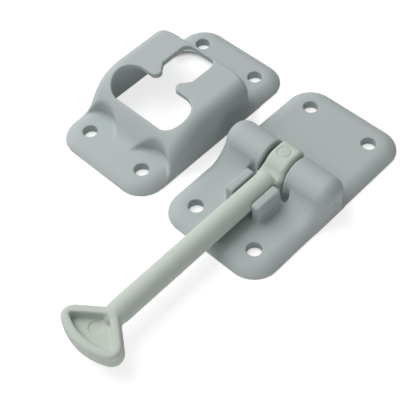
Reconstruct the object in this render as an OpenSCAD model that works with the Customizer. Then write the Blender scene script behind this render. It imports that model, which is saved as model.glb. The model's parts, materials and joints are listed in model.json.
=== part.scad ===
// Baggage door catch: a screwed-down holder with a swinging, T-headed arm,
// and a keeper plate with a keyhole mouth that takes the arm's head.
// Millimetres. Both flat backs lie in the plane z = 0, and +Z points out of the wall.
// The origin is the centre of the holder's four screws. At rest the arm lies along -Y.

/* [Plates] */
// Width of both plates
plate_w = 44.4; // [42:0.2:50]
// Length of the holder's plate
holder_l = 76.2; // [74:0.2:84]
// Length of the keeper's plate
keeper_l = 74.6; // [73:0.2:82]
// Thickness of both plates
plate_t = 3.3; // [3:0.1:4.5]
// Corner radius of both plates in plan
corner_r = 9.5; // [7:0.5:12]
// Radius of the soft arc along the plates' outer top edge
edge_r = 7; // [3:0.5:7]
// Distance from the holder's centre line to the keeper's
keeper_pitch = 50; // [50:0.5:80]
// How far the keeper lies back along the arm
keeper_shift = 1.6; // [0:0.1:6]

/* [Screws] */
// Diameter of the screw holes
screw_d = 5.16; // [4.2:0.02:5.6]
// Holder screw spacing across the plate
holder_screws_x = 25.4; // [24:0.1:27]
// Holder screw spacing along the plate
holder_screws_y = 57.2; // [55:0.1:60]
// Keeper screw spacing across the plate
keeper_screws_x = 25.8; // [24:0.1:27]
// Keeper screw spacing along the plate
keeper_screws_y = 56.4; // [55:0.1:60]

/* [Holder barrel] */
// Distance of the hinge line from the screws' centre, towards the arm
hinge_back = 0.3; // [0:0.1:3]
// Height of the hinge line above the back
hinge_h = 8; // [7.8:0.1:10]
// Radius of the two barrel halves
barrel_r = 6.4; // [6.2:0.1:7.5]
// Rounding of the barrel's outer ends
barrel_end_r = 4.6; // [3:0.1:5.5]
// Thickness of the cheek that carries the pin beside the hub
cheek_t = 2.6; // [2:0.1:4]
// Wall of the hollowed barrel
barrel_wall = 2.4; // [1.8:0.1:2.8]

/* [Clip fins] */
// Length of each fin along the arm
fin_l = 10.8; // [6:0.5:12]
// Start of the fins, measured from the hinge line towards the head
fin_start = 9.4; // [9.2:0.1:14]
// Thickness of each fin at its top
fin_t = 3.1; // [1.8:0.1:3.2]
// Extra thickness of each fin at its foot
fin_draft = 0.3; // [0:0.1:2]
// Height of the fins' top above the plate's face
fin_h = 7.2; // [5:0.1:8]
// Rounding of the fins' corners
fin_round = 0.9; // [0.4:0.1:1.2]
// Radius of the round relief behind each fin
relief_r = 2.1; // [1.6:0.1:3]
// Distance of the reliefs' centres behind the fins' rear ends
relief_back = 1.3; // [0:0.1:2]
// Free space between the arm's rod and each fin
fin_gap = 0.15; // [0.1:0.05:0.5]

/* [Swing arm] */
// Diameter of the arm's rod
rod_d = 7.8; // [6.5:0.1:8.4]
// Distance from the hinge line to the tip of the head
arm_reach = 90; // [75:1:120]
// Radius of the hub round the hinge pin
hub_r = 6; // [5:0.1:6.1]
// Radius of the hub's heel, its upper corner on the side away from the rod
heel_r = 3; // [2:0.5:4]
// Distance of the heel's centre behind the hinge line
heel_y = 3.1; // [1:0.1:3.2]
// Width of the hub
hub_w = 8.6; // [6.5:0.1:9]
// Free space between the hub and each cheek
hub_gap = 0.8; // [0.5:0.1:2.2]
// Distance from the hinge line to where the round rod starts
rod_start = 7.5; // [6.8:0.1:9]
// Diameter of the steel hinge pin
pin_d = 3.2; // [2.6:0.1:4]
// Radial running clearance of the pin in the hub
pin_play = 0.05; // [0.02:0.01:0.1]

/* [T head] */
// Radius of the fan-shaped head about the end of the rod
head_r = 17.1; // [14:0.1:20]
// Distance of the head's straight sides from the end of the rod
head_side = 0.8; // [0:0.1:1]
// Thickness of the head's rim
head_t = 5.6; // [4.4:0.2:6]
// Width of the head's rim, and radius of its outer corners
head_rim = 2.9; // [2.2:0.1:3.2]
// Bevel of the rim's outer edges
head_bevel = 0.6; // [0.2:0.1:0.9]
// Depth of the recess in the head's upper face
head_recess = 2.8; // [1:0.1:3]
// Thickness of the web under the recess
head_web = 1.6; // [0.8:0.1:2]
// Distance from the hinge line to the fine ring round the rod
ring_at = 51.2; // [30:0.2:60]
// Height of that ring above the rod
ring_h = 0.12; // [0.05:0.01:0.3]
// Width of that ring
ring_w = 0.6; // [0.3:0.1:1.5]

/* [Keeper housing] */
// Height of the keeper's flat top above the plate's face
crest_h = 13.3; // [11:0.1:16]
// Wall thickness of the keeper's housing
shell_t = 2.4; // [1.8:0.1:3]
// Rounding of the housing's two long top edges
crest_r = 5.6; // [3:0.1:7]
// Bevel of the housing's far top edge
far_bevel = 0.8; // [0.4:0.1:1.5]
// Far wall's distance from the keeper's screw centre
far_y = 17.2; // [17:0.1:19]
// Where the flat top ends and the ramp's crown starts, from the screw centre
crown_y = 5; // [4:0.5:6]
// Radius of the ramp's crown
crown_r = 17.5; // [15:0.5:20]
// Radius of the hollow foot of the ramp
foot_r = 7; // [4:0.5:9]
// Radius of the screwdriver pockets cut into the ramp's foot
pocket_r = 9.2; // [8:0.1:10]

/* [Keeper mouth] */
// Width of the mouth that takes the head
mouth_w = 34; // [30:0.2:35]
// Length of the mouth along the arm
mouth_l = 13; // [11:0.2:13.4]
// Far edge of the mouth, measured from the screw centre towards the ramp
mouth_y = 3.8; // [3.6:0.1:4.2]
// Width of the slot that the rod lies in
slot_w = 14; // [12:0.1:16]
// Far edge of the slot, measured from the screw centre
slot_y = 15.6; // [14:0.1:15.8]
// Radius of the slot's far corners
slot_r = 3; // [1:0.1:4]
// Free space between the rod and each nub at the neck
nub_gap = 0.2; // [0.1:0.05:0.6]
// Radius of the nubs' tips
nub_r = 2.2; // [1.6:0.1:2.4]

/* [Hidden] */
$fn = 96;

// Reach of a cutting shape past the face that it opens
over = 1;
// Radial play of the pin in its seats, and the share of its width left at their way in
pin_seat_play = 0.02;
snap_share = 0.85;
// How far the pin runs past each cheek
pin_end = 1;
// Top and bottom of the flat neck between hub and rod, from the hinge line
neck_top = 1.8;
neck_low = -3.3;
// Start of the nubs' upper flanks, just inside the tips' round, in shares of its radius,
// and where the flanks run out on the slot's side
nub_flank = [-0.7, 0.6];
nub_end = 3.4;
// Share of its radius that the arc on the plates' top edge runs inward
edge_run = 0.8;
half_w = plate_w / 2;
rod_r = rod_d / 2;
gap_half = hub_w / 2 + hub_gap;
hinge_y = -hinge_back;

// Directions with short exact cosine and sine, so that touching faces meet exactly:
// down the ramp, from the hinge line up to the sweep's end, and along the head's sides
ramp_dir = [0.6, 0.8];
ramp_turn = atan2(ramp_dir[1], ramp_dir[0]);
sweep_dir = [0.96, 0.28];
side_dir = [0.752192, 0.658944];
side_turn = atan2(side_dir[1], side_dir[0]);

// Hollow sweep: an arc that touches the barrel and just dips into the plate's face
sweep_fit = (hinge_h - plate_t + sweep_dir[1] * barrel_r) / (1 - sweep_dir[1]);
sweep_r = ceil(20 * sweep_fit + 0.4) / 20;
sweep_y = hinge_y - sweep_dir[0] * (barrel_r + sweep_r);
sweep_z = hinge_h + sweep_dir[1] * (barrel_r + sweep_r);

// Fins, measured along Y from the hinge line
fin_y = hinge_y - fin_start - fin_l;
fin_in = rod_r + fin_gap;
fin_top = plate_t + fin_h;

// Head: a fan about the rod's end. Its corners' centres lie side_run along each straight
// side and corner_in across it, so that the corners just pass the outer arc
head_y = hinge_y - arm_reach + head_r;
corner_in = head_side - head_rim;
corner_fit = sqrt(pow(head_r - head_rim, 2) - pow(corner_in, 2));
side_run = ceil(20 * corner_fit + 0.2) / 20;

// Keeper profile: flat top, crown arc, straight ramp, hollow foot
crest_z = plate_t + crest_h;
crown_z = crest_z - crown_r;
ramp_y = -crown_y - crown_r * ramp_dir[1];
ramp_z = crown_z + crown_r * ramp_dir[0];
foot_top_z = plate_t + foot_r * (1 - ramp_dir[0]);
ramp_run = (ramp_z - foot_top_z) / ramp_dir[1];
foot_top_y = ramp_y - ramp_run * ramp_dir[0];
foot_y = foot_top_y - foot_r * ramp_dir[1];
foot_z = plate_t + foot_r;

// Lays a shape that was drawn round the Z axis along the X axis
module along_x() {
    rotate([90, 0, 90]) children();
}

// What is cut off a square corner to round it about the origin
module corner_cut(r) {
    difference() {
        square(r + over);
        circle(r);
    }
}

// Rectangle from the origin whose far corner is rounded
module rounded_block(w, h, r) {
    difference() {
        square([w, h]);
        translate([w - r, h - r]) corner_cut(r);
    }
}

// Section of a plate's edge: its top face runs out in a soft arc above a low upright side
module edge_section() {
    difference() {
        square([corner_r, plate_t]);
        translate([corner_r - edge_r * edge_run, plate_t - edge_r]) corner_cut(edge_r);
    }
}

// Tongue that runs from the Y axis out along X, with both far corners rounded
module tongue(reach, half, r) {
    difference() {
        translate([0, -half]) square([reach, 2 * half]);
        for (side = [0, 1]) mirror([0, side]) translate([reach - r, half - r]) corner_cut(r);
    }
}

// Plate with rounded corners and a soft top edge
module plate(length) {
    run_x = half_w - corner_r;
    run_y = length / 2 - corner_r;
    translate([-run_x, -run_y, 0]) cube([2 * run_x, 2 * run_y, plate_t]);
    for (turn = [0, 180]) rotate(turn) {
        translate([run_x, run_y, 0]) rotate_extrude(angle = 90) edge_section();
        translate([-run_x, run_y, 0]) rotate(90) rotate_extrude(angle = 90) edge_section();
        translate([run_x, run_y, 0]) rotate([90, 0, 0]) linear_extrude(2 * run_y) edge_section();
        translate([-run_x, run_y, 0]) along_x() linear_extrude(2 * run_x) edge_section();
    }
}

// Four screw holes on a rectangle
module screw_holes(dx, dy) {
    for (x = [-dx / 2, dx / 2], y = [-dy / 2, dy / 2])
        translate([x, y, -over]) cylinder(d = screw_d, h = plate_t + 2 * over);
}

// Long round cutter along X whose ends flare out, so that it leaves a rounded side edge
module spool(r, flare, half) {
    along_x() rotate_extrude() for (side = [0, 1]) mirror([0, side]) {
        square([r, half + over]);
        translate([r, half - flare]) difference() {
            square([flare, flare + over]);
            translate([flare, 0]) circle(flare);
        }
    }
}

// Half of a round barrel along X on a block that reaches down to foot, with a rounded outer end
module barrel(r, end_r, from, to, foot) {
    translate([from, hinge_y, hinge_h]) along_x() rotate_extrude() rounded_block(r, to - from, end_r);
    translate([from, hinge_y, foot]) linear_extrude(hinge_h - foot) tongue(to - from, r, end_r);
}

// Ground under the hollow sweep in front of the barrel, drawn inward by inset
module sweep(inset, flare, from, to, foot) {
    reach = barrel_r - inset;
    difference() {
        along_x() translate([0, 0, from]) linear_extrude(to - from) polygon([
            [sweep_y, foot],
            [sweep_y, plate_t - inset],
            [hinge_y - reach * sweep_dir[0], hinge_h + reach * sweep_dir[1]],
            [hinge_y, hinge_h],
            [hinge_y, foot]
        ]);
        translate([0, sweep_y, sweep_z]) spool(sweep_r + inset, flare, to);
    }
}

// One fin beside the rod: drafted outer face, rounded top and ends
module fin() {
    foot_x = fin_in + fin_t + fin_draft;
    intersection() {
        translate([0, fin_y + fin_l, 0]) rotate([90, 0, 0]) linear_extrude(fin_l) difference() {
            polygon([
                [fin_in, 0],
                [foot_x, 0],
                [foot_x, plate_t],
                [fin_in + fin_t, fin_top],
                [fin_in, fin_top]
            ]);
            translate([fin_in + fin_t - fin_round, fin_top - fin_round]) corner_cut(fin_round);
        }
        along_x() linear_extrude(foot_x) translate([fin_y + fin_l / 2, 0]) rotate(90)
            tongue(fin_top, fin_l / 2, fin_round);
    }
}

// Hollow in the back of one barrel half and of the sweep in front of it
module barrel_core() {
    from = gap_half + cheek_t;
    barrel(barrel_r - barrel_wall, barrel_end_r - barrel_wall, from, half_w - barrel_wall, -over);
    sweep(plate_t, barrel_end_r - barrel_wall, from, half_w - barrel_wall, -over);
}

// Plate, barrel halves and fins of the holder, moulded as one piece
module holder_base() color([0.64, 0.69, 0.68]) {
    difference() {
        union() {
            plate(holder_l);
            for (side = [0, 1]) mirror([side, 0, 0])
                barrel(barrel_r, barrel_end_r, gap_half - over, half_w, 0);
            sweep(0, barrel_end_r, -half_w, half_w, 0);
        }
        for (side = [0, 1]) mirror([side, 0, 0]) barrel_core();
        // Window between the barrel halves, open at the back
        translate([-gap_half, hinge_y - fin_start, -over])
            cube([2 * gap_half, fin_start + barrel_r + over, hinge_h + barrel_r + 2 * over]);
        // Way for the rod over the foot of the sweep
        translate([0, hinge_y, hinge_h]) rotate([90, 0, 0])
            cylinder(r = fin_in, h = fin_start - sweep_y + hinge_y);
        // Round reliefs that free the rear ends of the fins
        for (x = [-1, 1]) translate([x * (fin_in + fin_t), hinge_y - fin_start + relief_back, -over])
            cylinder(r = relief_r, h = hinge_h + barrel_r);
        pin_seats();
        screw_holes(holder_screws_x, holder_screws_y);
    }
    for (side = [0, 1]) mirror([side, 0, 0]) fin();
}

// Seats of the pin in the two cheeks, with a tighter way in from the back
module pin_seats() {
    seat = 2 * (gap_half + cheek_t) + 2 * over;
    translate([-seat / 2, hinge_y, hinge_h]) along_x() cylinder(d = pin_d + 2 * pin_seat_play, h = seat);
    translate([-seat / 2, hinge_y - pin_d * snap_share / 2, -over])
        cube([seat, pin_d * snap_share, hinge_h + over]);
}

// Steel pin that lies in both cheeks and carries the hub
module hinge_pin() color([0.72, 0.73, 0.75]) {
    length = 2 * (gap_half + cheek_t + pin_end);
    translate([-length / 2, hinge_y, hinge_h]) along_x() cylinder(d = pin_d, h = length);
}

// Half section of a slab of the head's thickness, bevelled at its far side
module bevelled(reach) {
    half = head_t / 2;
    polygon([
        [0, -half],
        [reach - head_bevel, -half],
        [reach, head_bevel - half],
        [reach, half - head_bevel],
        [reach - head_bevel, half],
        [0, half]
    ]);
}

// Sector that opens towards the head's tip from a point on the arm's axis
module fan_sector(from, turn) {
    far = 2 * head_r;
    polygon([
        [0, -from],
        [far * cos(turn), -from - far * sin(turn)],
        [-far * cos(turn), -from - far * sin(turn)]
    ]);
}

// Recess in the head's face, one rim's width inside its outline
module head_pocket(depth) {
    linear_extrude(depth) intersection() {
        circle(head_r - head_rim);
        fan_sector(-corner_in / side_dir[0], side_turn);
    }
}

// Fan-shaped head about the end of the rod, with a recess above and below its web
module head() {
    difference() {
        intersection() {
            rotate_extrude() bevelled(head_r);
            union() {
                translate([0, 0, -head_t / 2]) linear_extrude(head_t)
                    fan_sector(0, side_turn + atan2(-corner_in, side_run));
                for (side = [0, 1]) mirror([side, 0, 0]) rotate(-side_turn) {
                    translate([side_run, corner_in, 0]) rotate_extrude() bevelled(head_rim);
                    translate([0, corner_in, 0]) along_x() linear_extrude(side_run) bevelled(head_rim);
                }
            }
        }
        translate([0, 0, head_t / 2 - head_recess]) head_pocket(head_t);
        translate([0, 0, -head_t]) head_pocket(3 * head_t / 2 - head_recess - head_web);
    }
}

// Outline of the hub: round towards the rod, with a full corner at its back
module hub_section() {
    circle(hub_r);
    square([heel_y, hub_r]);
    translate([heel_y, hub_r - heel_r]) circle(heel_r);
}

// Hub, rod and head of the arm, moulded as one piece
module swing_arm() color([0.71, 0.75, 0.71]) {
    difference() {
        translate([0, hinge_y, hinge_h]) {
            translate([-hub_w / 2, 0, 0]) along_x() linear_extrude(hub_w) hub_section();
            translate([-hub_w / 2, -rod_start - over, neck_low])
                cube([hub_w, rod_start + over, neck_top - neck_low]);
            rotate([90, 0, 0]) translate([0, 0, rod_start])
                cylinder(r = rod_r, h = arm_reach - head_r - rod_start);
            rotate([90, 0, 0]) translate([0, 0, ring_at - ring_w / 2])
                cylinder(r = rod_r + ring_h, h = ring_w);
        }
        translate([-hub_w, hinge_y, hinge_h]) along_x()
            cylinder(d = pin_d + 2 * pin_play, h = 2 * hub_w);
    }
    translate([0, head_y, hinge_h]) {
        sphere(rod_r);
        head();
    }
}

// Solid under the keeper's flat top, crown and ramp, drawn inward by inset
module ramp_solid(inset, run, foot) {
    half = half_w - inset;
    round_r = crest_r - inset;
    top = crest_z - inset;
    reach = crown_r - inset;
    translate([0, far_y - inset, foot]) rotate([90, 0, 0])
        linear_extrude(far_y - inset + crown_y) rotate(90) tongue(top - foot, half, round_r);
    intersection() {
        translate([0, -crown_y, crown_z]) {
            along_x() rotate_extrude() tongue(reach, half, round_r);
            rotate([90 + ramp_turn, 0, 0]) linear_extrude(run) rotate(90) tongue(reach, half, round_r);
        }
        translate([-plate_w, -keeper_l, foot]) cube([2 * plate_w, 2 * keeper_l, 2 * crest_z]);
    }
}

// Hollow foot that leads the ramp into the plate
module ramp_foot() {
    inner = [foot_top_y + crest_r * ramp_dir[1], foot_top_z - crest_r * ramp_dir[0]];
    difference() {
        along_x() translate([0, 0, -half_w]) linear_extrude(plate_w) polygon([
            [foot_y, 0],
            [foot_y, plate_t],
            [foot_top_y, foot_top_z],
            inner,
            [inner[0] + crest_r, 0]
        ]);
        translate([0, foot_y, foot_z]) spool(foot_r, crest_r, half_w);
    }
}

// Keyhole in plan: wide mouth, neck between two nubs, slot for the rod
module mouth() {
    mid_y = -mouth_y - mouth_l / 2;
    end_x = (mouth_w - mouth_l) / 2;
    tip = [rod_r + nub_gap + nub_r, nub_r - mouth_y];
    translate([0, mid_y]) square([2 * end_x, mouth_l], center = true);
    for (side = [-1, 1]) translate([side * end_x, mid_y]) circle(mouth_l / 2);
    difference() {
        translate([0, mid_y]) rotate(90) tongue(slot_y - mid_y, slot_w / 2, slot_r);
        for (side = [0, 1]) mirror([side, 0]) {
            translate(tip) circle(nub_r);
            polygon([
                [slot_w / 2 + over, -mouth_y],
                [tip[0], -mouth_y],
                tip,
                tip + nub_r * nub_flank,
                [slot_w / 2, nub_end],
                [slot_w / 2 + over, nub_end]
            ]);
        }
    }
}

// Hollow housing on a plate, open at the back, with the keyhole through its top and ramp
module keeper() color([0.64, 0.69, 0.68]) translate([-keeper_pitch, -keeper_shift, 0]) difference() {
    union() {
        plate(keeper_l);
        difference() {
            union() {
                ramp_solid(0, ramp_run, 0);
                ramp_foot();
            }
            // Room for the screw heads and a screwdriver at the ramp's foot
            for (x = [-1, 1]) translate([x * keeper_screws_x / 2, -keeper_screws_y / 2, plate_t])
                cylinder(r = pocket_r, h = crest_z);
        }
    }
    difference() {
        ramp_solid(shell_t, 2 * crest_z, -over);
        for (x = [-1, 1]) translate([x * keeper_screws_x / 2, -keeper_screws_y / 2, -2 * over])
            cylinder(r = pocket_r + shell_t, h = crest_z);
    }
    translate([0, 0, -over]) linear_extrude(crest_z + 2 * over) mouth();
    translate([-half_w - over, far_y, crest_z - far_bevel]) along_x() linear_extrude(plate_w + 2 * over)
        polygon([[0, 0], [-far_bevel, far_bevel], [over, far_bevel + over]]);
    screw_holes(keeper_screws_x, keeper_screws_y);
}

holder_base();
swing_arm();
hinge_pin();
keeper();
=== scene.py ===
import json
import math

import bpy
import numpy as np
from bpy.props import FloatProperty, FloatVectorProperty, PointerProperty
from mathutils import Matrix, Vector


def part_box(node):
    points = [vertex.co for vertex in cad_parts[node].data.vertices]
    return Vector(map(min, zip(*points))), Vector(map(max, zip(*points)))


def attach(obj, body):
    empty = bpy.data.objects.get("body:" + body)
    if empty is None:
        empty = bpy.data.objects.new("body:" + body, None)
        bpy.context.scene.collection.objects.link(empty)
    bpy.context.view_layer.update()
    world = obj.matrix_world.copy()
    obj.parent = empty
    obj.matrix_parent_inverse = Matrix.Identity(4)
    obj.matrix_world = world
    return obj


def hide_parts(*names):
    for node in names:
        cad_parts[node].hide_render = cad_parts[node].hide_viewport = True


bl_info = {
    "name": "Baggage door catch",
    "version": (1, 0, 0),
    "blender": (4, 5, 0),
    "location": "View3D > Sidebar > Catch",
    "description": "Dresses a moulded door holder, its swinging arm and its keeper",
    "category": "Object",
}

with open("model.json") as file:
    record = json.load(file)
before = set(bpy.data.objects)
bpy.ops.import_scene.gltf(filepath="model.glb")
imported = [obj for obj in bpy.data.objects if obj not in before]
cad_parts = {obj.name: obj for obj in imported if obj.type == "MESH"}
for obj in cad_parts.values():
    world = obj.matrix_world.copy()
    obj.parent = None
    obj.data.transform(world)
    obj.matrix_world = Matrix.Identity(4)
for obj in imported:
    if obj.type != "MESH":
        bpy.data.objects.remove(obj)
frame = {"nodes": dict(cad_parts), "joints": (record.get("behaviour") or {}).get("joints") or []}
MM = 0.001
HINGE = frame["joints"][0]["pos_m"]
KEEPER_LOW, KEEPER_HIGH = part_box("keeper")
HOLDER_LOW, HOLDER_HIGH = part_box("holder_base")
ARM_LOW, ARM_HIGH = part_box("swing_arm")

# Small lengths of the moulds, in millimetres
BACK_EDGE = 0.3
PLATE_EDGE = 0.4
HOLE_EDGE = 0.18
OPENING_EDGE = 0.35
NO_FILLET = 1e-6
MARK_RADIUS = 2.2
MARK_DEPTH = 0.18

# Slopes of the hollow's centre from the hinge, of the keeper's ramp and of the head's straight sides
SWEEP_BACK, SWEEP_UP = 0.96, 0.28
RAMP_ALONG, RAMP_UP = 0.6, 0.8
HEAD_ACROSS, HEAD_ALONG = 0.603, 0.798


def length(name, text, default):
    """A length property in metres"""
    return FloatProperty(name=name, description=text, default=default, min=0.0, unit="LENGTH", precision=5)


def colour(name, text, default):
    """A linear colour property"""
    return FloatVectorProperty(name=name, description=text, default=default, size=3, min=0.0, max=1.0,
                               subtype="COLOR_GAMMA")


def ratio(name, text, default):
    """A number from nought to one"""
    return FloatProperty(name=name, description=text, default=default, min=0.0, max=1.0, subtype="FACTOR")


class CatchPlates(bpy.types.PropertyGroup):
    """Sizes of the two screwed plates"""
    width: length("Width", "Width of both plates", HOLDER_HIGH.x - HOLDER_LOW.x)
    holder_length: length("Holder length", "Length of the holder's plate", HOLDER_HIGH.y - HOLDER_LOW.y)
    keeper_length: length("Keeper length", "Length of the keeper's plate", KEEPER_HIGH.y - KEEPER_LOW.y)
    thickness: length("Thickness", "Thickness of both plates", 0.0033)
    corner: length("Corner radius", "Corner radius in plan", 0.0095)
    edge_arc: length("Edge arc", "Radius of the soft arc along the top edge", 0.007)
    hole: length("Screw hole", "Radius of the screw holes", 0.00258)
    holder_holes_x: length("Holder holes across", "Screw spacing across the holder", 0.0254)
    holder_holes_y: length("Holder holes along", "Screw spacing along the holder", 0.0572)
    keeper_holes_x: length("Keeper holes across", "Screw spacing across the keeper", 0.0258)
    keeper_holes_y: length("Keeper holes along", "Screw spacing along the keeper", 0.0564)


class CatchBarrel(bpy.types.PropertyGroup):
    """Sizes of the hinge barrel, the ground in front of it and the clip fins"""
    radius: length("Barrel radius", "Radius of both barrel halves", 0.0064)
    end: length("End rounding", "Rounding of the barrel's outer ends", 0.0046)
    gap: length("Hub window", "Half width of the window for the hub", 0.0053)
    cheek: length("Cheek", "Thickness of the cheek beside the hub", 0.0026)
    wall: length("Wall", "Wall of the hollowed barrel", 0.0024)
    sweep: length("Sweep radius", "Radius of the hollow ground in front of the barrel", 0.00905)
    fin_start: length("Fin start", "Start of the fins from the hinge line", 0.0094)
    fin_length: length("Fin length", "Length of each fin", 0.0108)
    fin_inner: length("Fin inner face", "Distance of the fins' inner faces from the arm's axis", 0.00405)
    fin_width: length("Fin width", "Thickness of each fin at its top", 0.0031)
    fin_draft: length("Fin draft", "Extra thickness of each fin at its foot", 0.0003)
    fin_height: length("Fin height", "Height of the fins above the plate's face", 0.0072)
    relief: length("Relief", "Radius of the round relief behind each fin", 0.0019)
    relief_back: length("Relief place", "Distance of the reliefs' centres behind the fins", 0.0013)
    seat: length("Pin seat", "Radius of the pin's seats", 0.00162)


class CatchArm(bpy.types.PropertyGroup):
    """Sizes of the swinging arm"""
    rod: length("Rod radius", "Radius of the arm's rod", 0.0039)
    reach: length("Reach", "Distance from the hinge line to the head's tip", 0.09)
    hub: length("Hub radius", "Radius of the hub", 0.006)
    hub_half: length("Hub half width", "Half width of the hub", 0.0043)
    heel: length("Heel radius", "Radius of the hub's heel", 0.003)
    heel_back: length("Heel place", "Distance of the heel's centre behind the hinge line", 0.0031)
    rod_start: length("Rod start", "Distance from the hinge line to the round rod", 0.0075)
    bore: length("Bore", "Radius of the hub's bore", 0.00165)
    end: length("Rod end", "Distance from the hinge line to the rod's end in the head", 0.0729)
    fan_back: length("Fan centre", "Distance of the centre of the head's arc behind the rod's end", 0.0054)
    head_side: length("Head side", "Distance of the rod's end outside the head's straight sides", 0.00045)
    head_corner: length("Head corner", "Radius of the head's outer corners in plan", 0.0056)
    nose: length("Nose", "How far the rod's round end runs on over the head's web", 0.0062)
    head_half: length("Head half thickness", "Half the thickness of the head's rim", 0.003)
    rim: length("Rim", "Width of the head's rim", 0.0029)
    web: length("Web", "Thickness of the web inside the rim", 0.0016)
    ring_at: length("Ring place", "Distance from the hinge line to the fine ring round the rod", 0.0512)


class CatchKeeper(bpy.types.PropertyGroup):
    """Sizes of the keeper's hollow housing and its keyhole"""
    crest: length("Crest height", "Height of the flat top above the back", 0.0166)
    crest_round: length("Crest rounding", "Rounding of the two long top edges", 0.0052)
    wall: length("Wall", "Wall thickness of the housing", 0.0024)
    roof: length("Roof", "Thickness of the housing's top", 0.0021)
    far: length("Far end", "Distance of the housing's open far end from the keeper's centre", 0.0162)
    far_corner: length("Far corners", "Radius in plan of the far end's two corners", 0.0026)
    far_top: length("Far top corners", "Rounding of the far end's two top corners", 0.0026)
    window: length("Window", "Far edge of the window under and behind the far end", 0.0231)
    window_half: length("Window half width", "Half width of the window behind the far end", 0.0162)
    far_foot: length("Far foot", "Radius of the flare where the side walls end", 0.0046)
    crown_at: length("Crown start", "Where the flat top ends, from the keeper's centre", 0.005)
    crown: length("Crown radius", "Radius of the ramp's crown", 0.0175)
    foot: length("Foot radius", "Radius of the hollow foot of the ramp", 0.007)
    pocket: length("Pocket radius", "Radius of the screwdriver pockets", 0.0092)
    mouth_half: length("Mouth half width", "Half width of the mouth that takes the head", 0.0168)
    mouth_round: length("Mouth end radius", "Radius of the mouth's round ends", 0.0067)
    mouth_far: length("Mouth far edge", "Far edge of the mouth from the keeper's centre", 0.0031)
    slot_half: length("Slot half width", "Half width of the slot for the rod", 0.007)
    slot_far: length("Slot far edge", "Far edge of the slot from the keeper's centre", 0.0155)
    slot_round: length("Slot corner", "Radius of the slot's far corners", 0.003)
    nub: length("Nub radius", "Radius of the nubs' tips", 0.0022)
    nub_at: length("Nub place", "Distance of the nubs' centres from the arm's axis", 0.0063)


class CatchMoulding(bpy.types.PropertyGroup):
    """How soft the mould leaves the edges, and how fine the skin is"""
    plate_cell: length("Plate skin", "Cell of the skin on the two plates", 0.00042)
    arm_cell: length("Arm skin", "Cell of the skin on the arm", 0.0003)
    edge: length("Edge", "Rounding of the cut edges", 0.0005)
    crease: length("Crease", "Fillet where a wall meets a plate", 0.0011)
    rim_edge: length("Rim edge", "Rounding of the head's rim", 0.0011)
    parting: length("Parting step", "Step of the parting line round the head", 0.00012)


class CatchMarks(bpy.types.PropertyGroup):
    """Beads that the moulding gates leave"""
    radius: length("Bead radius", "Radius of a bead", 0.0004)
    rise: ratio("Bead rise", "Height of a bead as a share of its radius", 0.45)


class CatchFinish(bpy.types.PropertyGroup):
    """Colours and sheen of the plastics and the pin"""
    body: colour("Body colour", "Blue-grey of the two plates", (0.367, 0.452, 0.416))
    arm: colour("Arm colour", "Paler, greener grey of the arm", (0.424, 0.508, 0.435))
    steel: colour("Pin colour", "Bright drawn steel", (0.56, 0.57, 0.58))
    gloss: ratio("Roughness", "Roughness of the satin skin", 0.46)
    wear: ratio("Wear", "How much the edges are lighter", 0.5)


class CatchStage(bpy.types.PropertyGroup):
    """Floor, light and camera"""
    floor: colour("Floor colour", "White of the floor", (0.43, 0.43, 0.43))
    bounce: ratio("Floor bounce", "How much of the key light the floor gives back to the part", 0.72)
    glow: FloatProperty(name="Floor glow", description="How bright the floor itself looks", default=0.73,
                        min=0.0)
    under: FloatProperty(name="Light from below", description="Light that the floor sends up to the part",
                         default=0.2, min=0.0)
    key: FloatProperty(name="Key light", description="Power of the soft main light", default=4.6, min=0.0,
                       unit="POWER")
    sky: FloatProperty(name="Sky", description="Strength of the wide light from the bright side", default=0.7,
                       min=0.0)
    shade: FloatProperty(name="Shade", description="Strength of the light from the dim side", default=0.03,
                         min=0.0)
    fill: FloatProperty(name="Fill light", description="Power of the weak light from the right", default=1.7,
                        min=0.0, unit="POWER")
    lens: FloatProperty(name="Lens", description="Focal length in millimetres", default=83.92, min=1.0)
    azimuth: FloatProperty(name="Azimuth", description="Camera's direction round the part",
                           default=math.radians(48.24), subtype="ANGLE")
    elevation: FloatProperty(name="Elevation", description="Camera's height above the horizon",
                             default=math.radians(53.32), subtype="ANGLE")
    roll: FloatProperty(name="Roll", description="Camera's turn about its own axis",
                        default=math.radians(-5.48), subtype="ANGLE")
    distance: length("Distance", "Camera's distance from the point that it looks at", 0.31354)
    aim: FloatVectorProperty(name="Aim", description="Point on the plates' top that the camera looks at",
                             default=(-0.00921, -0.0267, 0.0033), size=3, subtype="XYZ")


SETTINGS = {
    "catch_plates": CatchPlates,
    "catch_barrel": CatchBarrel,
    "catch_arm": CatchArm,
    "catch_keeper": CatchKeeper,
    "catch_moulding": CatchMoulding,
    "catch_marks": CatchMarks,
    "catch_finish": CatchFinish,
    "catch_stage": CatchStage,
}


class Millimetres:
    """Reads the lengths of a settings group in millimetres"""

    def __init__(self, group):
        self.group = group

    def __getattr__(self, name):
        return getattr(self.group, name) / MM


# Shape fields: each gives the distance from a surface in millimetres, negative inside

def weld(a, b, r):
    """Either of two solids, with a hollow fillet between them"""
    return np.maximum(np.minimum(a, b), r) - np.hypot(np.maximum(r - a, 0), np.maximum(r - b, 0))


def trim(a, b, r):
    """What lies in both solids, with a round edge between them"""
    return np.minimum(np.maximum(a, b), -r) + np.hypot(np.maximum(a + r, 0), np.maximum(b + r, 0))


def spot(distance):
    """Soft step from one inside an outline to nought outside it"""
    return np.clip(0.5 - 4 * distance, 0, 1)


def rounded_outline(x, y, half_x, half_y, r):
    """Rectangle with round corners about the origin"""
    across = np.abs(x) - (half_x - r)
    along = np.abs(y) - (half_y - r)
    return (np.hypot(np.maximum(across, 0), np.maximum(along, 0))
            + np.minimum(np.maximum(across, along), 0) - r)


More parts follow.
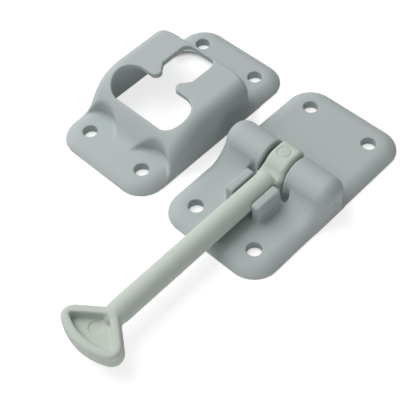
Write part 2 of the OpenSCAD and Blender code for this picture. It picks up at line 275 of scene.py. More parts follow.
def plate_shape(x, y, z, plates, full_length):
    """Plate whose top face runs out in a soft arc, and its outline in plan"""
    outline = rounded_outline(x, y, plates.width / 2, full_length / 2, plates.corner)
    run = np.maximum(outline + 0.8 * plates.edge_arc, 0)
    top = np.hypot(run, z - plates.thickness + plates.edge_arc) - plates.edge_arc
    return trim(trim(top, outline, PLATE_EDGE), -z, BACK_EDGE), outline


def screw_holes(solid, x, y, spacing_x, spacing_y, r):
    """Bores four holes with softened rims"""
    across = np.abs(x) - spacing_x / 2
    along = np.abs(y) - spacing_y / 2
    return trim(solid, r - np.hypot(across, along), HOLE_EDGE)


def holder_shape(x, y, z, plates, barrel, mould):
    """Plate, barrel halves and clip fins"""
    half = plates.width / 2
    hinge_y = HINGE[1] / MM
    hinge_z = HINGE[2] / MM
    v = y - hinge_y
    w = z - hinge_z
    side = np.abs(x)
    plate, outline = plate_shape(x, y, z, plates, plates.holder_length)
    above = np.hypot(v, np.maximum(w, 0))
    round_top = above - barrel.radius
    lobes = trim(round_top, side - half, barrel.end)
    sweep_y = hinge_y - SWEEP_BACK * (barrel.radius + barrel.sweep)
    sweep_z = hinge_z + SWEEP_UP * (barrel.radius + barrel.sweep)
    hollow = barrel.sweep - np.hypot(y - sweep_y, z - sweep_z)
    reach = np.maximum(np.maximum(sweep_y - y, v), w - SWEEP_UP * barrel.radius)
    ground = np.maximum(trim(hollow, side - half, barrel.end), reach)
    body = np.minimum(lobes, ground)
    behind = np.clip((y - hinge_y) / 2, 0, 1)
    solid = np.maximum(weld(body, plate, NO_FILLET + mould.crease * behind), outline)
    solid = trim(solid, -z, BACK_EDGE)

    cheek = barrel.gap + barrel.cheek - side
    end_wall = side - half + barrel.wall
    end_round = barrel.end - barrel.wall
    inner = np.maximum(trim(round_top + barrel.wall, end_wall, end_round), cheek)
    under = np.maximum(trim(hollow + plates.thickness, end_wall, end_round), np.maximum(reach, cheek))
    solid = trim(solid, -np.minimum(inner, under), BACK_EDGE)

    window = np.maximum(side - barrel.gap, np.maximum(-barrel.fin_start - v, v - barrel.radius - 1))
    solid = trim(solid, -window, mould.edge)
    rod_way = np.maximum(np.hypot(x, w) - barrel.fin_inner, v)
    solid = trim(solid, -rod_way, mould.edge)
    fin_outer = barrel.fin_inner + barrel.fin_width
    relief = np.hypot(side - fin_outer, v + barrel.fin_start - barrel.relief_back) - barrel.relief
    solid = trim(solid, -relief, mould.edge)
    seat = np.minimum(np.hypot(v, w) - barrel.seat, np.maximum(np.abs(v) - 0.85 * barrel.seat, w))
    seat = np.maximum(seat, side - barrel.gap - barrel.cheek - 1)
    solid = np.maximum(solid, -seat)

    fin_top = plates.thickness + barrel.fin_height
    lean = math.hypot(barrel.fin_height, barrel.fin_draft)
    outer = ((side - fin_outer) * barrel.fin_height + (z - fin_top) * barrel.fin_draft) / lean
    middle = -barrel.fin_start - barrel.fin_length / 2
    ends = np.abs(v - middle) - barrel.fin_length / 2
    fin = trim(trim(trim(outer, z - fin_top, 0.7), ends, 0.9), barrel.fin_inner - side, 0.5)
    fin = trim(fin, -z, BACK_EDGE)
    fin_fillet = 0.6
    outside = np.clip((side - barrel.fin_inner - 1) / 1.5, 0, 1)
    solid = weld(solid, fin, NO_FILLET + fin_fillet * outside)

    # Discs of the mould's pins on the back, and the gate's recess in the barrel's right end
    pins = np.minimum(np.hypot(side - 14, y - 20), np.hypot(side - 11.5, y + 24))
    solid = solid + MARK_DEPTH * spot(pins - MARK_RADIUS) * (z < 1)
    recess_radius = 1.1
    recess_depth = 0.24
    solid = solid + recess_depth * spot(np.hypot(y + 0.5, z - 7) - recess_radius) * (x > half - 1)
    return screw_holes(solid, x, y, plates.holder_holes_x, plates.holder_holes_y, plates.hole)


def keyhole_outline(x, y, keeper):
    """Wide mouth, neck between two nubs, and the slot that the rod lies in"""
    side = np.abs(x)
    mid = -keeper.mouth_far - keeper.mouth_round
    beyond = np.maximum(side - keeper.mouth_half + keeper.mouth_round, 0)
    mouth = np.hypot(beyond, y - mid) - keeper.mouth_round
    slot = np.maximum(trim(side - keeper.slot_half, y - keeper.slot_far, keeper.slot_round), mid - y)
    tip_x = keeper.nub_at
    tip_y = keeper.nub - keeper.mouth_far
    tip = np.hypot(side - tip_x, y - tip_y) - keeper.nub
    start = (tip_x - 0.7 * keeper.nub, tip_y + 0.6 * keeper.nub)
    flank_end_y = 3.4
    flank = across_line(side, y, (keeper.slot_half, flank_end_y), start)
    chord = across_line(side, y, start, (tip_x, -keeper.mouth_far))
    block = np.maximum(np.maximum(flank, chord), -keeper.mouth_far - y)
    nubs = np.minimum(tip, block)
    neck_edge = 0.3
    return np.minimum(mouth, trim(slot, -nubs, neck_edge))


def across_line(x, y, a, b):
    """Distance from the line through two points, positive on its right"""
    dx = b[0] - a[0]
    dy = b[1] - a[1]
    return ((x - a[0]) * dy - (y - a[1]) * dx) / math.hypot(dx, dy)


def ramp_profile(y, z, keeper):
    """Flat top, crown and straight ramp, seen from the side"""
    v = y + keeper.crown_at
    w = z - keeper.crest + keeper.crown
    past_crown = RAMP_ALONG * v + RAMP_UP * w < 0
    slope = np.where(past_crown, RAMP_ALONG * w - RAMP_UP * v, np.hypot(v, w)) - keeper.crown
    return np.where(v > 0, w - keeper.crown, slope)


def keeper_shape(x, y, z, plates, keeper, mould):
    """Hollow housing on a plate, about the keeper's own centre"""
    half = plates.width / 2
    side = np.abs(x)
    plate, outline = plate_shape(x, y, z, plates, plates.keeper_length)
    top = ramp_profile(y, z, keeper)

    # Far end: leans out toward the plate, crisp in the middle of the roof, round at its two top corners
    far_draft = 0.08
    draft_top = 12
    roof_edge = 0.6
    far_face = y - keeper.far - far_draft * np.maximum(draft_top - z, 0)
    far_edge = roof_edge + (keeper.far_top - roof_edge) * np.clip((side - 14) / 6, 0, 1)
    ramp = trim(trim(top, side - half, keeper.crest_round), far_face, far_edge)
    ramp = np.maximum(ramp, trim(side - half, far_face, keeper.far_corner))

    # Hollow foot between the straight ramp and the plate
    ramp_y = -keeper.crown_at - RAMP_UP * keeper.crown
    ramp_z = keeper.crest - (1 - RAMP_ALONG) * keeper.crown
    foot_top_z = plates.thickness + (1 - RAMP_ALONG) * keeper.foot
    foot_top_y = ramp_y - RAMP_ALONG / RAMP_UP * (ramp_z - foot_top_z)
    foot_y = foot_top_y - RAMP_UP * keeper.foot
    foot_arc = keeper.foot - np.hypot(y - foot_y, z - plates.thickness - keeper.foot)
    chord = across_line(y, z, (foot_top_y, foot_top_z), (foot_y, plates.thickness))
    stop = RAMP_ALONG * (y - foot_top_y) + RAMP_UP * (z - foot_top_z)
    foot = np.maximum(trim(foot_arc, side - half, keeper.crest_round),
                      np.maximum(foot_y - y, np.maximum(chord, stop)))
    housing = np.minimum(ramp, foot)

    # Screwdriver pockets over the two holes beside the ramp
    pocket_edge = 0.7
    hole_x = side - plates.keeper_holes_x / 2
    hole_y = y + plates.keeper_holes_y / 2
    housing = trim(housing, keeper.pocket - np.hypot(hole_x, hole_y), pocket_edge)

    # No fillet in the middle of the ramp's foot, and a flare where the side walls end
    fillet = np.where(y < -20, np.clip((side - 3) / 2.5, 0, 1), 1) * mould.crease
    fillet = fillet + (keeper.far_foot - mould.crease) * np.clip((y - keeper.far + 4) / 3, 0, 1)
    solid = np.maximum(weld(housing, plate, NO_FILLET + fillet), outline)
    solid = trim(solid, -z, BACK_EDGE)

    # Inside, open at the back and at the far end, with the window in the plate behind it
    inner = trim(top + keeper.roof, side - half + keeper.wall, keeper.crest_round - keeper.wall)
    under = np.maximum(plates.thickness - z, 0)
    spread_x = 0.75 * under
    spread_y = 0.68 * under
    window_corner = 5.7
    behind = trim(side - keeper.window_half - spread_x, y - keeper.window - spread_y, window_corner)
    inner = np.maximum(inner, np.minimum(behind, far_face - 1))
    inner_edge = 0.6
    inner = trim(inner, keeper.pocket + keeper.wall - np.hypot(hole_x, hole_y), inner_edge)
    solid = trim(solid, -inner, OPENING_EDGE)
    solid = trim(solid, -keyhole_outline(x, y, keeper), OPENING_EDGE)
    return screw_holes(solid, x, y, plates.keeper_holes_x, plates.keeper_holes_y, plates.hole)


def arm_shape(x, y, z, arm, mould):
    """Hub, neck, rod and fan-shaped head"""
    v = y - HINGE[1] / MM
    w = z - HINGE[2] / MM
    side = np.abs(x)
    heel = np.hypot(v - arm.heel_back, w - arm.hub + arm.heel) - arm.heel
    bridge = np.maximum(np.maximum(v - arm.heel_back, -v), np.maximum(w - arm.hub, -w))
    hub = np.minimum(np.minimum(np.hypot(v, w) - arm.hub, bridge), heel)
    hub_edge = 1.6
    neck_edge = 1.0
    neck_top = 1.8
    neck_bottom = -3.3
    neck_fillet = 1.6
    hub = trim(hub, side - arm.hub_half, hub_edge)
    neck = trim(np.maximum(w - neck_top, neck_bottom - w), side - arm.hub_half, neck_edge)
    neck = np.maximum(neck, np.maximum(v, -arm.rod_start - 1 - v))
    grip = weld(hub, neck, neck_fillet)

    # Round rod with a fine ring round it, and its long round nose over the head's web
    rod_edge = 0.9
    ring_rise = 0.1
    ring_half = 0.3
    rod = trim(np.hypot(x, w) - arm.rod, v + arm.rod_start, rod_edge)
    rod = np.maximum(rod, -arm.end - v)
    bead = np.maximum(np.hypot(x, w) - arm.rod - ring_rise, np.abs(v + arm.ring_at) - ring_half)
    rod = np.minimum(rod, bead)
    past = v + arm.end
    run = np.maximum(past, 0) + past * arm.rod / arm.nose * (past < 0)
    nose = np.sqrt(x * x + run ** 2 + w * w) - arm.rod

    tip = np.hypot(x, past - arm.fan_back) - (arm.reach - arm.end + arm.fan_back)
    straight = HEAD_ACROSS * side + HEAD_ALONG * past + arm.head_side
    fan = trim(tip, straight, arm.head_corner)
    fan = fan + mould.parting * np.clip(0.5 + 4 * w, 0, 1)
    head = trim(fan, np.abs(w) - arm.head_half, mould.rim_edge)
    inside_corner = 1.2
    upper_draft = 0.07
    lower_draft = 0.14
    inside = trim(tip + arm.rim, straight + arm.rim, inside_corner)
    upper = trim(inside + upper_draft * (arm.head_half - w), -w, 0.5)
    lower = trim(inside + lower_draft * (arm.head_half + w), w + arm.web, 0.4)
    head = trim(trim(head, -upper, 0.6), -lower, 0.4)

    # Disc that a mould's pin leaves in the web, and the ring of another on the hub
    disc_depth = 0.3
    head = head + disc_depth * spot(np.hypot(x + 1.3, past + 9.0) - MARK_RADIUS) * (w > -0.8)
    nose_fillet = 0.7
    solid = weld(head, np.minimum(nose, rod), nose_fillet)
    ring = np.abs(np.hypot(x + 0.2, v - 0.9) - MARK_RADIUS)
    ring_depth = 0.3
    ring_width = 0.4
    grip = grip + ring_depth * np.clip(1 - ring / ring_width, 0, 1) * (w > 0)
    grip_fillet = 0.5
    solid = weld(solid, grip, grip_fillet)
    return np.maximum(solid, arm.bore - np.hypot(v, w))


# Skins: closed meshes drawn over a shape field

def cell_points(field, cells, step, low):
    """Middle of the places where the surface crosses the edges of each cell"""
    total = np.zeros((len(cells), 3))
    count = np.zeros(len(cells))
    for axis in range(3):
        along = np.eye(3, dtype=int)[axis]
        others = np.delete(np.eye(3, dtype=int), axis, axis=0)
        for i in (0, 1):
            for j in (0, 1):
                near = cells + i * others[0] + j * others[1]
                far = near + along
                a = field[tuple(near.T)]
                b = field[tuple(far.T)]
                cut = (a < 0) != (b < 0)
                share = np.zeros(len(cells))
                share[cut] = a[cut] / (a[cut] - b[cut])
                total[cut] += (near + share[:, None] * along)[cut]
                count += cut
    return low + step * total / count[:, None]


def cell_faces(inside, index):
    """Four-sided faces round every grid edge that the surface crosses, facing out"""
    faces = []
    for axis in range(3):
        size = inside.shape[axis]
        first = inside.take(range(size - 1), axis)
        second = inside.take(range(1, size), axis)
        places = np.argwhere(first != second)
        leaving = first[tuple(places.T)]
        step_b = np.eye(3, dtype=int)[(axis + 1) % 3]
        step_c = np.eye(3, dtype=int)[(axis + 2) % 3]
        ring = [places - step_b - step_c, places - step_c, places, places - step_b]
        quads = np.stack([index[tuple(p.T)] for p in ring], 1)
        quads[~leaving] = quads[~leaving][:, ::-1]
        faces.append(quads)
    return np.concatenate(faces)


def slopes(shape, points, h):
    """Gradient of a field at loose points"""
    parts = []
    for step in np.eye(3) * h:
        parts.append(shape(*(points + step).T) - shape(*(points - step).T))
    return np.stack(parts, 1) / (2 * h)


def draw_skin(name, shape, low, high, step, shift=(0.0, 0.0, 0.0)):
    """Smooth closed object over a field; its corner values tell raised edges from crevices, whose values
    carry painted shade into the colour
    """
    # The odd share of a cell keeps flat faces off the grid's own planes
    start = np.array(low) - 1.37 * step
    counts = np.ceil((np.array(high) + 1.5 * step - start) / step).astype(int) + 1
    axes = [start[i] + step * np.arange(counts[i]) for i in range(3)]
    field = shape(*np.meshgrid(*axes, indexing="ij"))
    inside = field < 0
    total = np.zeros(counts - 1, int)
    for i in (0, 1):
        for j in (0, 1):
            for k in (0, 1):
                total += inside[i:counts[0] - 1 + i, j:counts[1] - 1 + j, k:counts[2] - 1 + k]
    crossed = (total > 0) & (total < 8)
    index = np.full(crossed.shape, -1)
    index[crossed] = np.arange(crossed.sum())
    points = cell_points(field, np.argwhere(crossed), step, start)
    faces = cell_faces(inside, index)

    # Rounds that settle the points on the surface
    furthest = 0.6 * step
    least_steep = 0.3
    for _ in range(3):
        gradient = slopes(shape, points, 0.02)
        steep = np.maximum((gradient ** 2).sum(1), least_steep)
        move = -(shape(*points.T) / steep)[:, None] * gradient
        points += np.clip(move, -furthest, furthest)
    points = np.clip(points, np.array(low), np.array(high))

    # How much the surface bends, from the field at six places round each point
    reach = 0.55
    bend = -6 * shape(*points.T)
    for offset in np.eye(3) * reach:
        bend += shape(*(points + offset).T) + shape(*(points - offset).T)
    bend /= reach ** 2

    mesh = bpy.data.meshes.new(name)
    mesh.from_pydata((points * MM + np.array(shift)).tolist(), [], faces.tolist())
    mesh.update()
    mesh.polygons.foreach_set("use_smooth", np.ones(len(faces), bool))
    # The crevice values mark hollows that the material darkens with painted shade
    for title, values in (("raised", np.clip(bend, 0, 1)), ("crevice_shade", np.clip(-bend, 0, 1))):
        layer = mesh.attributes.new(title, "FLOAT", "POINT")
        layer.data.foreach_set("value", values.astype(np.float32))
    return add_object(name, mesh)


def add_object(name, data):
    """New object in the scene"""
    piece = bpy.data.objects.new(name, data)
    bpy.context.scene.collection.objects.link(piece)
    return piece


# Shader maths

class Wire:
    """An output of a shader node that takes Python's arithmetic"""

    def __init__(self, graph, socket):
        self.graph = graph
        self.socket = socket

    def math(self, operation, a, b=0.0):
        return self.graph.node("ShaderNodeMath", {"operation": operation}, {0: a, 1: b})

    def __add__(self, other):
        return self.math("ADD", self, other)

    def __radd__(self, other):
        return self.math("ADD", other, self)

    def __sub__(self, other):
        return self.math("SUBTRACT", self, other)

    def __mul__(self, other):
        return self.math("MULTIPLY", self, other)

    def smooth(self, low, high):
        """Nought below low, one above high, and a soft step between"""
        settings = {"interpolation_type": "SMOOTHSTEP"}
        inputs = {"Value": self, "From Min": low, "From Max": high}
        return self.graph.node("ShaderNodeMapRange", settings, inputs)


class Graph:
    """Node tree of one material, of the world or of a modifier"""

    def __init__(self, owner):
        self.owner = owner
        self.tree = owner
        if not isinstance(owner, bpy.types.NodeTree):
            owner.use_nodes = True
            self.tree = owner.node_tree
        self.tree.nodes.clear()

    def raw(self, kind, settings=None, inputs=None):
        """Adds a node with its settings first, then its values and links"""
        node = self.tree.nodes.new(kind)
        for key, value in (settings or {}).items():
            setattr(node, key, value)
        for key, value in (inputs or {}).items():
            socket = node.inputs[key]
            if isinstance(value, Wire):
                self.tree.links.new(value.socket, socket)
            else:
                socket.default_value = value
        return node

    def node(self, kind, settings=None, inputs=None, output=0):
        """Adds a node and gives one of its outputs"""
        return Wire(self, self.raw(kind, settings, inputs).outputs[output])

    def noise(self, place, scale, detail=2.0, rough=0.5):
        """Cloudy values about one half"""
        return self.node("ShaderNodeTexNoise", {}, {"Vector": place, "Scale": scale, "Detail": detail,
                                                    "Roughness": rough})

    def stretch(self, place, factors):
        """Position multiplied along each axis"""
        return self.node("ShaderNodeVectorMath", {"operation": "MULTIPLY"}, {0: place, 1: factors})

    def blend(self, factor, a, b):
        """Mix of two colours"""
        node = self.raw("ShaderNodeMix", {"data_type": "RGBA"}, {0: factor})
        for socket, value in ((node.inputs[6], a), (node.inputs[7], b)):
            if isinstance(value, Wire):
                self.tree.links.new(value.socket, socket)
            else:
                socket.default_value = (*value[:3], 1.0)
        return Wire(self, node.outputs[2])

    def finish(self, surface, output="ShaderNodeOutputMaterial"):
        """Closes the tree with its shader"""
        self.raw(output, {}, {"Surface": surface})
        return self.owner


def scaled(tint, factor):
    """A colour made lighter or darker"""
    return tuple(min(1.0, c * factor) for c in tint)


def moulded_plastic(name, tint, warm, finish, grain):
    """Satin injection-moulded skin: slow tint drift, flow streaks, fine grain, paler worn edges and painted
    shade in crevices
    """
    graph = Graph(bpy.data.materials.new(name))
    place = graph.node("ShaderNodeTexCoord", {}, {}, "Object")
    drift = graph.noise(place, 42.0, 3.0)
    streak = graph.noise(graph.stretch(place, (1.0, 0.22, 1.0)), 210.0, 3.0, 0.6)
    fine = graph.noise(place, grain, 3.0, 0.6)
    pores = graph.noise(place, grain * 2.7, 2.0, 0.5)
    raised = graph.node("ShaderNodeAttribute", {"attribute_name": "raised"}, {}, "Fac")
    crevice_shade = graph.node("ShaderNodeAttribute", {"attribute_name": "crevice_shade"}, {}, "Fac")
    rub = raised.smooth(0.12, 0.9) * fine.smooth(0.3, 0.62) * finish.wear
    speck = graph.noise(place, 900.0, 1.0).smooth(0.745, 0.775)

    shade = graph.blend(drift.smooth(0.3, 0.7), scaled(tint, 0.965), scaled(warm, 1.02))
    shade = graph.blend(streak.smooth(0.35, 0.7) * 0.5, shade, scaled(tint, 1.035))
    shade = graph.blend(fine.smooth(0.35, 0.65) * 0.35, shade, scaled(tint, 0.94))
    shade = graph.blend(rub, shade, scaled(tint, 1.22))
    # Painted shade: darker, warmer colour in crevices and hollows, where shade falls
    shade = graph.blend(crevice_shade.smooth(0.1, 0.9) * 0.4, shade, scaled(warm, 0.78))
    shade = graph.blend(speck * 0.35, shade, scaled(warm, 0.5))
    rough = finish.gloss + (fine - 0.5) * 0.22 + (drift - 0.5) * 0.1 - rub * 0.1
    height = fine * 0.7 + pores * 0.3 + streak * 0.35
    bump = graph.node("ShaderNodeBump", {}, {"Strength": 0.35, "Distance": 0.00006, "Height": height})
    shader = graph.node("ShaderNodeBsdfPrincipled", {}, {
        "Base Color": shade, "Roughness": rough, "Normal": bump, "IOR": 1.5, "Specular IOR Level": 0.42})
    return graph.finish(shader)


def drawn_steel(name, tint):
    """Bright wire with fine lines round it"""
    graph = Graph(bpy.data.materials.new(name))
    place = graph.node("ShaderNodeTexCoord", {}, {}, "Object")
    lines = graph.noise(graph.stretch(place, (1.0, 0.05, 0.05)), 6000.0, 2.0)
    cloud = graph.noise(place, 300.0, 3.0)
    shade = graph.blend(cloud.smooth(0.35, 0.7), tint, scaled(tint, 0.8))
    bump = graph.node("ShaderNodeBump", {}, {"Strength": 0.2, "Distance": 0.00002, "Height": lines})
    shader = graph.node("ShaderNodeBsdfPrincipled", {}, {
        "Base Color": shade, "Roughness": 0.28 + lines * 0.15, "Normal": bump, "Metallic": 1.0})
    return graph.finish(shader)


def studio_floor(name, tint, glow, bounce, under):
    """Matt white sheet that looks lit from below, with painted shadow where the part closes round it, and
    gives a set share of light back to the part
    """
    graph = Graph(bpy.data.materials.new(name))
    place = graph.node("ShaderNodeTexCoord", {}, {}, "Object")
    fibre = graph.noise(place, 900.0, 3.0)
    shade = graph.blend(fibre, scaled(tint, 0.995), scaled(tint, 1.005))
    # Painted shadow: the floor's own glow goes dark in narrow gaps and holes under the part
    nearness = graph.node("ShaderNodeAmbientOcclusion", {"samples": 12}, {"Distance": 0.012}, "AO")
    light = graph.blend(nearness.smooth(0.06, 0.3), (0.0, 0.0, 0.0), (1.0, 1.0, 1.0))
    shader = graph.node("ShaderNodeBsdfPrincipled", {}, {
        "Base Color": shade, "Roughness": 0.9, "Specular IOR Level": 0.1,
        "Emission Color": light, "Emission Strength": glow})
    matt = graph.node("ShaderNodeBsdfPrincipled", {}, {
        "Base Color": (bounce, bounce, bounce, 1.0), "Roughness": 1.0, "Specular IOR Level": 0.0,
        "Emission Color": (1.0, 1.0, 1.0, 1.0), "Emission Strength": under})
    seen = graph.node("ShaderNodeLightPath", {}, {}, "Is Camera Ray")
    return graph.finish(graph.node("ShaderNodeMixShader", {}, {0: seen, 1: matt, 2: shader}))


def studio_light(name, direction, sky, shade):
    """Wide pale light round one side of the room, dim on the other, with a plain white backdrop"""
    graph = Graph(bpy.data.worlds.new(name))
    place = graph.node("ShaderNodeTexCoord", {}, {}, "Generated")
    toward = graph.node("ShaderNodeVectorMath", {"operation": "DOT_PRODUCT"}, {0: place, 1: direction},
                        "Value")
    glow = graph.blend(toward.smooth(0.15, 0.95), (shade, shade, shade), (sky, sky, sky))
    seen = graph.node("ShaderNodeLightPath", {}, {}, "Is Camera Ray")
    light = graph.node("ShaderNodeBackground", {}, {"Color": glow, "Strength": 1.0})
    backdrop = graph.node("ShaderNodeBackground", {}, {"Color": (1.0, 1.0, 1.0, 1.0), "Strength": 1.0})
    both = graph.node("ShaderNodeMixShader", {}, {0: seen, 1: light, 2: backdrop})
    return graph.finish(both, "ShaderNodeOutputWorld")


def material(name, maker, *values):
    """A material that is made once"""
    found = bpy.data.materials.get(name)
    return found or maker(name, *values)


def body_plastic():
    """Blue-grey plastic of the two plates"""
    finish = bpy.context.scene.catch_finish
    tint = tuple(finish.body)
    warm = (tint[0] * 1.02, tint[1], tint[2] * 0.985)
    return material("body_plastic", moulded_plastic, tint, warm, finish, 2300.0)


def arm_plastic():
    """Paler plastic of the arm"""
    finish = bpy.context.scene.catch_finish
    tint = tuple(finish.arm)
    warm = (tint[0] * 1.03, tint[1], tint[2] * 0.95)
    return material("arm_plastic", moulded_plastic, tint, warm, finish, 2600.0)


def mark_tree():
    """Node tree that sets a flat bead on every point, turned to the point's own facing"""
    tree = bpy.data.node_groups.get("gate_marks")
    if tree:
        return tree
    tree = bpy.data.node_groups.new("gate_marks", "GeometryNodeTree")
    inputs = (("Geometry", "Geometry"), ("Radius", "Float"), ("Rise", "Float"), ("Skin", "Material"))
    for title, kind in inputs:
        tree.interface.new_socket(title, in_out="INPUT", socket_type="NodeSocket" + kind)
    tree.interface.new_socket("Geometry", in_out="OUTPUT", socket_type="NodeSocketGeometry")
    graph = Graph(tree)
    given = graph.raw("NodeGroupInput")
    points, radius, rise, skin = (Wire(graph, given.outputs[i]) for i in range(4))
    ball = graph.node("GeometryNodeMeshIcoSphere", {}, {"Radius": radius, "Subdivisions": 3})
    flat = graph.node("ShaderNodeCombineXYZ", {}, {"X": 1.0, "Y": 1.0, "Z": rise})
    bead = graph.node("GeometryNodeTransform", {}, {"Geometry": ball, "Scale": flat})
    facing = graph.node("GeometryNodeInputNamedAttribute", {"data_type": "FLOAT_VECTOR"}, {"Name": "facing"})
    size = graph.node("GeometryNodeInputNamedAttribute", {"data_type": "FLOAT"}, {"Name": "size"})
    turn = graph.node("FunctionNodeAlignRotationToVector", {"axis": "Z"}, {"Vector": facing})
    beads = graph.node("GeometryNodeInstanceOnPoints", {}, {
        "Points": points, "Instance": bead, "Rotation": turn, "Scale": size})
    solid = graph.node("GeometryNodeRealizeInstances", {}, {"Geometry": beads})
    graph.raw("NodeGroupOutput", {}, {"Geometry": graph.node(
        "GeometryNodeSetMaterial", {}, {"Geometry": solid, "Material": skin})})
    return tree


def gate_marks(name, places, marks, skin):
    """Small beads that the moulding gates leave; each place is a point, its facing and its size"""
    mesh = bpy.data.meshes.new(name)
    mesh.from_pydata([tuple(MM * c for c in point) for point, facing, size in places], [], [])
    facings = np.array([facing for point, facing, size in places], np.float32)
    sizes = np.array([size for point, facing, size in places], np.float32)
    mesh.attributes.new("facing", "FLOAT_VECTOR", "POINT").data.foreach_set("vector", facings.ravel())
    mesh.attributes.new("size", "FLOAT", "POINT").data.foreach_set("value", sizes)
    piece = add_object(name, mesh)
    tree = mark_tree()
    values = {"Radius": marks.radius, "Rise": marks.rise, "Skin": skin}
    modifier = piece.modifiers.new("marks", "NODES")
    modifier.node_group = tree
    for socket in tree.interface.items_tree:
        if socket.in_out == "INPUT" and socket.name in values:
            modifier[socket.identifier] = values[socket.name]
    bpy.context.view_layer.update()
    evaluated = piece.evaluated_get(bpy.context.evaluated_depsgraph_get())
    solid = bpy.data.meshes.new_from_object(evaluated)
    piece.modifiers.clear()
    piece.data = solid
    solid.polygons.foreach_set("use_smooth", np.ones(len(solid.polygons), bool))
    return piece


def soft_lamp(name, power, size, aim, direction):
    """Square lamp that shines on the part from one side"""
    far_off = 0.75
    lamp = bpy.data.lights.new(name, "AREA")
    lamp.size = size
    lamp.energy = power
    place = add_object(name, lamp)
    place.location = aim + far_off * direction
    place.rotation_euler = direction.to_track_quat("Z", "Y").to_euler()


def dress(piece, skin, body, slot, *nodes):
    """Gives a piece its material and its place in the mechanism"""
    piece.data.materials.clear()
    piece.data.materials.append(skin)
    if nodes:
        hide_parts(*nodes)
    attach(piece, body)


class CATCH_OT_stage(bpy.types.Operator):
    """Lays the white floor, sets the soft lights and places the camera"""
    bl_idname = "catch.stage"
    bl_label = "Stage"

    def execute(self, context):
        stage = context.scene.catch_stage
        mesh = bpy.data.meshes.new("floor")
        reach = 3.0
        corners = [(-reach, -reach, 0), (reach, -reach, 0), (reach, reach, 0), (-reach, reach, 0)]
        mesh.from_pydata(corners, [], [(0, 1, 2, 3)])
        floor = add_object("floor", mesh)
        mesh.materials.append(material("floor_white", studio_floor, tuple(stage.floor), stage.glow,
                                       stage.bounce, stage.under))

        aim = Vector(stage.aim)
        key_side = Vector((-0.6, -0.07, 0.78)).normalized()
        fill_side = Vector((0.8, -0.5, 0.15)).normalized()
        soft_lamp("key", stage.key, 0.65, aim, key_side)
        soft_lamp("fill", stage.fill, 0.5, aim, fill_side)

        context.scene.world = studio_light("studio", key_side, stage.sky, stage.shade)
        context.scene.view_settings.view_transform = "Standard"

        level = math.cos(stage.elevation)
        back = Vector((math.sin(stage.azimuth) * level, -math.cos(stage.azimuth) * level,
                       math.sin(stage.elevation)))
        right = (-back).cross(Vector((0, 0, 1))).normalized()
        up = right.cross(-back)
        turn_x = math.cos(stage.roll) * right + math.sin(stage.roll) * up
        turn_y = -math.sin(stage.roll) * right + math.cos(stage.roll) * up
        data = bpy.data.cameras.new("camera")
        data.lens = stage.lens
        data.sensor_width = 36.0
        data.clip_start = 0.01
        camera = add_object("camera", data)
        place = Matrix((turn_x, turn_y, back)).transposed().to_4x4()
        place.translation = aim + stage.distance * back
        camera.matrix_world = place
        context.scene.camera = camera
        return {"FINISHED"}


class CATCH_OT_holder_base(bpy.types.Operator):
    """Moulds the holder's plate, barrel halves and clip fins"""
    bl_idname = "catch.holder_base"
    bl_label = "Holder base"

    def execute(self, context):
        plates = Millimetres(context.scene.catch_plates)
        barrel = Millimetres(context.scene.catch_barrel)
        mould = Millimetres(context.scene.catch_moulding)

        def shape(x, y, z):
            return holder_shape(x, y, z, plates, barrel, mould)

        piece = draw_skin("holder_moulding", shape, HOLDER_LOW / MM, HOLDER_HIGH / MM, mould.plate_cell)
        dress(piece, body_plastic(), "holder", "body_plastic", "holder_base")
        return {"FINISHED"}


class CATCH_OT_keeper(bpy.types.Operator):
    """Moulds the keeper's plate and its hollow housing with the keyhole"""
    bl_idname = "catch.keeper"
    bl_label = "Keeper"

    def execute(self, context):
        plates = Millimetres(context.scene.catch_plates)
        keeper = Millimetres(context.scene.catch_keeper)
        mould = Millimetres(context.scene.catch_moulding)

        def shape(x, y, z):
            return keeper_shape(x, y, z, plates, keeper, mould)

        middle = (KEEPER_LOW + KEEPER_HIGH) / 2
        middle.z = 0.0
        piece = draw_skin("keeper_moulding", shape, (KEEPER_LOW - middle) / MM, (KEEPER_HIGH - middle) / MM,
                          mould.plate_cell, middle)
        dress(piece, body_plastic(), "holder", "body_plastic", "keeper")
        return {"FINISHED"}


class CATCH_OT_swing_arm(bpy.types.Operator):
    """Moulds the arm's hub, rod and fan-shaped head"""
    bl_idname = "catch.swing_arm"
    bl_label = "Swing arm"

    def execute(self, context):
        arm = Millimetres(context.scene.catch_arm)
        mould = Millimetres(context.scene.catch_moulding)

        def shape(x, y, z):
            return arm_shape(x, y, z, arm, mould)

        piece = draw_skin("arm_moulding", shape, ARM_LOW / MM, ARM_HIGH / MM, mould.arm_cell)
        dress(piece, arm_plastic(), "arm", "arm_plastic", "swing_arm")
        return {"FINISHED"}


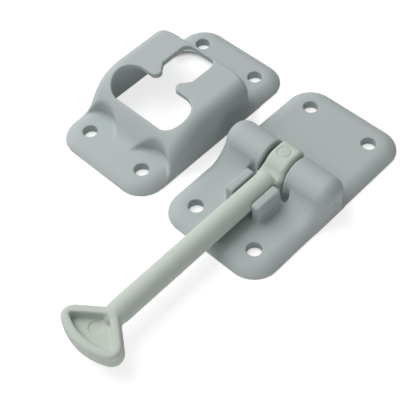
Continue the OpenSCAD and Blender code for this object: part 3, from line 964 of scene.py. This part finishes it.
class CATCH_OT_gate_marks(bpy.types.Operator):
    """Sets the beads that the gates leave on the keeper's wall, the barrel's end and the head's rim"""
    bl_idname = "catch.gate_marks"
    bl_label = "Gate marks"

    def execute(self, context):
        marks = context.scene.catch_marks
        wall = KEEPER_HIGH.x / MM
        end = HOLDER_HIGH.x / MM
        on_plates = [
            ((wall, -0.7, 8.8), (1, 0, 0), 1.2),
            ((wall, -0.9, 5.9), (1, 0, 0), 1.0),
            ((end - 0.22, -0.5, 7.0), (1, 0, 0), 1.1),
        ]
        on_arm = [((-0.4, -90.08, 8.4), (0, -1, 0), 1.2)]
        piece = gate_marks("plate_marks", on_plates, marks, body_plastic())
        dress(piece, body_plastic(), "holder", "body_plastic")
        piece = gate_marks("arm_mark", on_arm, marks, arm_plastic())
        dress(piece, arm_plastic(), "arm", "arm_plastic")
        return {"FINISHED"}


class CATCH_OT_hinge_pin(bpy.types.Operator):
    """Gives the steel hinge pin its drawn finish"""
    bl_idname = "catch.hinge_pin"
    bl_label = "Hinge pin"

    def execute(self, context):
        steel = material("pin_steel", drawn_steel, tuple(context.scene.catch_finish.steel))
        for place in frame["nodes"]["hinge_pin"].material_slots:
            place.material = steel
        return {"FINISHED"}


class CATCH_PT_panel(bpy.types.Panel):
    """Lists the parts of the catch in the sidebar"""
    bl_label = "Door catch"
    bl_idname = "CATCH_PT_panel"
    bl_space_type = "VIEW_3D"
    bl_region_type = "UI"
    bl_category = "Catch"

    def draw(self, context):
        for operator in OPERATORS:
            self.layout.operator(operator.bl_idname)
        for name, group in SETTINGS.items():
            box = self.layout.box()
            box.label(text=group.__doc__)
            values = getattr(context.scene, name)
            for key in group.__annotations__:
                box.prop(values, key)


OPERATORS = (CATCH_OT_stage, CATCH_OT_holder_base, CATCH_OT_keeper, CATCH_OT_swing_arm, CATCH_OT_gate_marks,
             CATCH_OT_hinge_pin)


def register():
    for group in SETTINGS.values():
        bpy.utils.register_class(group)
    for cls in (*OPERATORS, CATCH_PT_panel):
        bpy.utils.register_class(cls)
    for name, group in SETTINGS.items():
        setattr(bpy.types.Scene, name, PointerProperty(type=group))


def unregister():
    for name in SETTINGS:
        delattr(bpy.types.Scene, name)
    for cls in (CATCH_PT_panel, *reversed(OPERATORS)):
        bpy.utils.unregister_class(cls)
    for group in reversed(list(SETTINGS.values())):
        bpy.utils.unregister_class(group)


def main():
    """Builds the stage and the pieces"""
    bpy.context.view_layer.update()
    register()
    bpy.ops.catch.stage()
    bpy.ops.catch.holder_base()
    bpy.ops.catch.keeper()
    bpy.ops.catch.swing_arm()
    bpy.ops.catch.gate_marks()
    bpy.ops.catch.hinge_pin()


if __name__ == "__main__":
    main()
